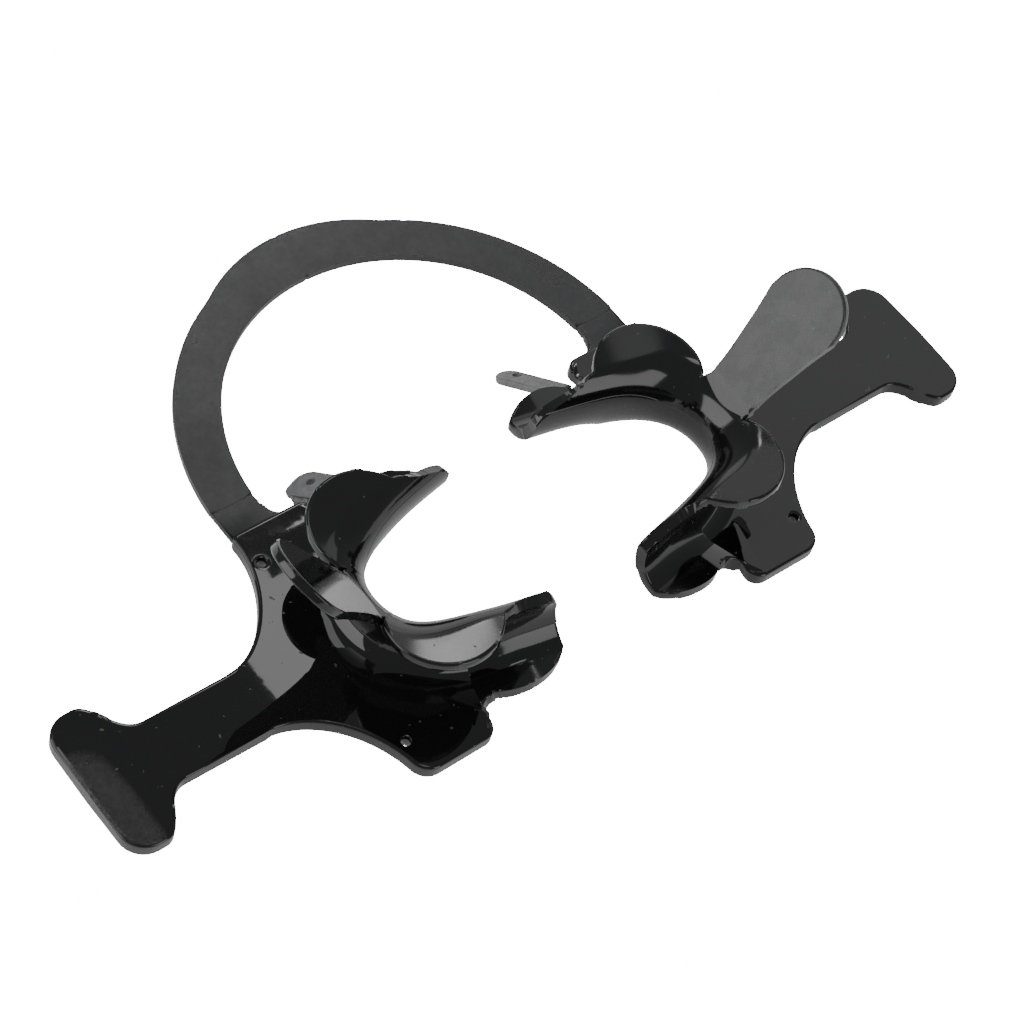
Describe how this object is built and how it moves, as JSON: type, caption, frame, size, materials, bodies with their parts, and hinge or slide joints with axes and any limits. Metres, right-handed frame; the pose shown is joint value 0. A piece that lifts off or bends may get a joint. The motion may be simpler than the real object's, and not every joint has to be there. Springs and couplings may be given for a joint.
{
  "type": "cheek retractor",
  "caption": "Dental cheek and lip retractor: two C-shaped lip grooves with cheek paddles and finger handles, joined by a springy bow.",
  "frame": {"origin": "under the middle of the whole object, at the height of its lowest points, the tips of the two tie tabs", "axes": "+X from the left retractor to the right one along the two handles, +Y towards the crown of the bow, +Z towards the side that the lip wings and cheek paddles stand on"},
  "size_m": [0.17, 0.0958, 0.0415],
  "materials": {
    "satin_bow": "satin moulded polycarbonate, dark grey",
    "gloss_black": "high-gloss moulded polycarbonate, black",
    "satin_tab": "satin moulded polycarbonate, dark grey"
  },
  "bodies": {
    "bow": {"bow_crown": "satin_bow"},
    "left_retractor": {"left_bow_arm": "satin_bow", "left_bow_root": "satin_bow", "left_finger_handle": "gloss_black", "left_face_plate": "gloss_black", "left_corner_channel": "gloss_black", "left_upper_lip_gutter": "gloss_black", "left_lower_lip_gutter": "gloss_black", "left_upper_lip_wing": "gloss_black", "left_lower_lip_wing": "gloss_black", "left_cheek_paddle": "gloss_black", "left_tie_tab": "satin_tab"},
    "right_retractor": {"right_bow_arm": "satin_bow", "right_bow_root": "satin_bow", "right_finger_handle": "gloss_black", "right_face_plate": "gloss_black", "right_corner_channel": "gloss_black", "right_upper_lip_gutter": "gloss_black", "right_lower_lip_gutter": "gloss_black", "right_upper_lip_wing": "gloss_black", "right_lower_lip_wing": "gloss_black", "right_cheek_paddle": "gloss_black", "right_tie_tab": "satin_tab"}
  },
  "joints": [
    {"name": "right_bow_flex", "type": "hinge", "parent": "bow", "child": "right_retractor", "pos_m": [0.01647, 0.03852, 0.0067], "axis": [0, 0, 1], "range_deg": [-6, 8], "stiffness_Nm_per_rad": 3},
    {"name": "left_bow_flex", "type": "hinge", "parent": "bow", "child": "left_retractor", "pos_m": [-0.01647, 0.03852, 0.0067], "axis": [0, 0, 1], "range_deg": [-8, 6], "stiffness_Nm_per_rad": 3}
  ],
  "couplings": [
    {"joint": "left_bow_flex", "follows": "right_bow_flex", "ratio": -1}
  ]
}
